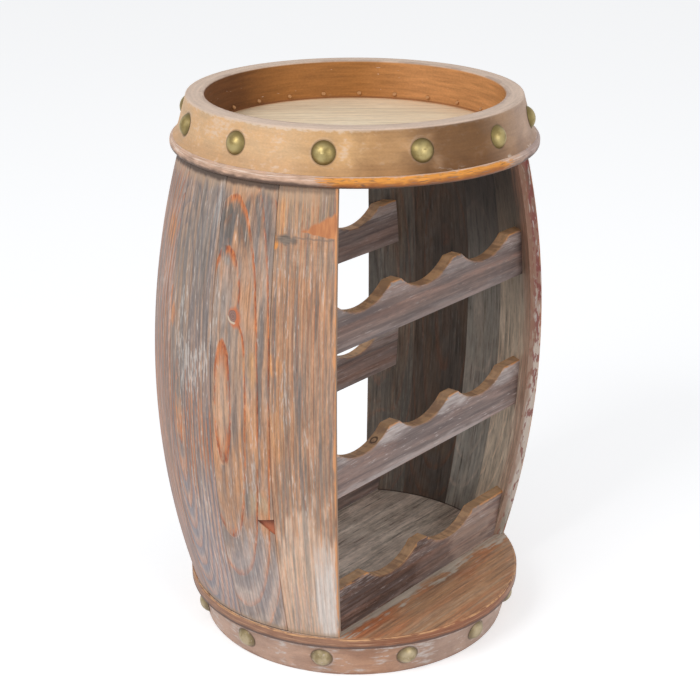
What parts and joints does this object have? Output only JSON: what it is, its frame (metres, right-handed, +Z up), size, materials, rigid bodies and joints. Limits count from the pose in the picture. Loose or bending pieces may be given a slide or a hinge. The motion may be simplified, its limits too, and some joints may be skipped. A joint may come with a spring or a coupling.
{
  "type": "wine rack",
  "caption": "Barrel-shaped wooden wine rack: two bulged stave walls, scalloped rails that carry lying bottles, round boards, a studded base band and a rimmed tray top.",
  "frame": {"origin": "on the floor at the middle of the rack, under the base band", "axes": "+Z up, -Y out of the open front that the bottle necks point to, +X to the right seen from the front"},
  "size_m": [0.3778, 0.33, 0.51],
  "materials": {
    "stave_wood": "weathered softwood with red-brown growth rings, knots and a rubbed pale wash",
    "rail_wood": "mauve-brown weathered softwood with a thin pale wash and worn orange corners",
    "base_band_wood": "terracotta-brown painted wood, scuffed white",
    "board_wood": "red-brown stained wood with streaks of grain and a worn pale rim",
    "tray_board_wood": "light tan wood with long grain streaks",
    "rim_wood": "golden-tan painted wood with rubbed pale edges",
    "stud_brass": "antique brass",
    "nail_steel": "dull steel, browned"
  },
  "bodies": {
    "root": {"base_band": "base_band_wood", "base_board": "board_wood", "tray_board": "tray_board_wood", "tray_rim": "rim_wood", "base_studs": "stud_brass", "tray_studs": "stud_brass", "tray_brads": "nail_steel", "base_brads": "nail_steel", "base_screws": "nail_steel", "tray_screws": "nail_steel", "rail_nails": "nail_steel", "left_stave_1": "stave_wood", "left_stave_2": "stave_wood", "left_stave_3": "stave_wood", "left_stave_4": "stave_wood", "right_stave_1": "stave_wood", "right_stave_2": "stave_wood", "right_stave_3": "stave_wood", "right_stave_4": "stave_wood", "front_rail_bottom": "rail_wood", "front_rail_middle": "rail_wood", "front_rail_top": "rail_wood", "back_rail_bottom": "rail_wood", "back_rail_middle": "rail_wood", "back_rail_top": "rail_wood"}
  },
  "joints": []
}
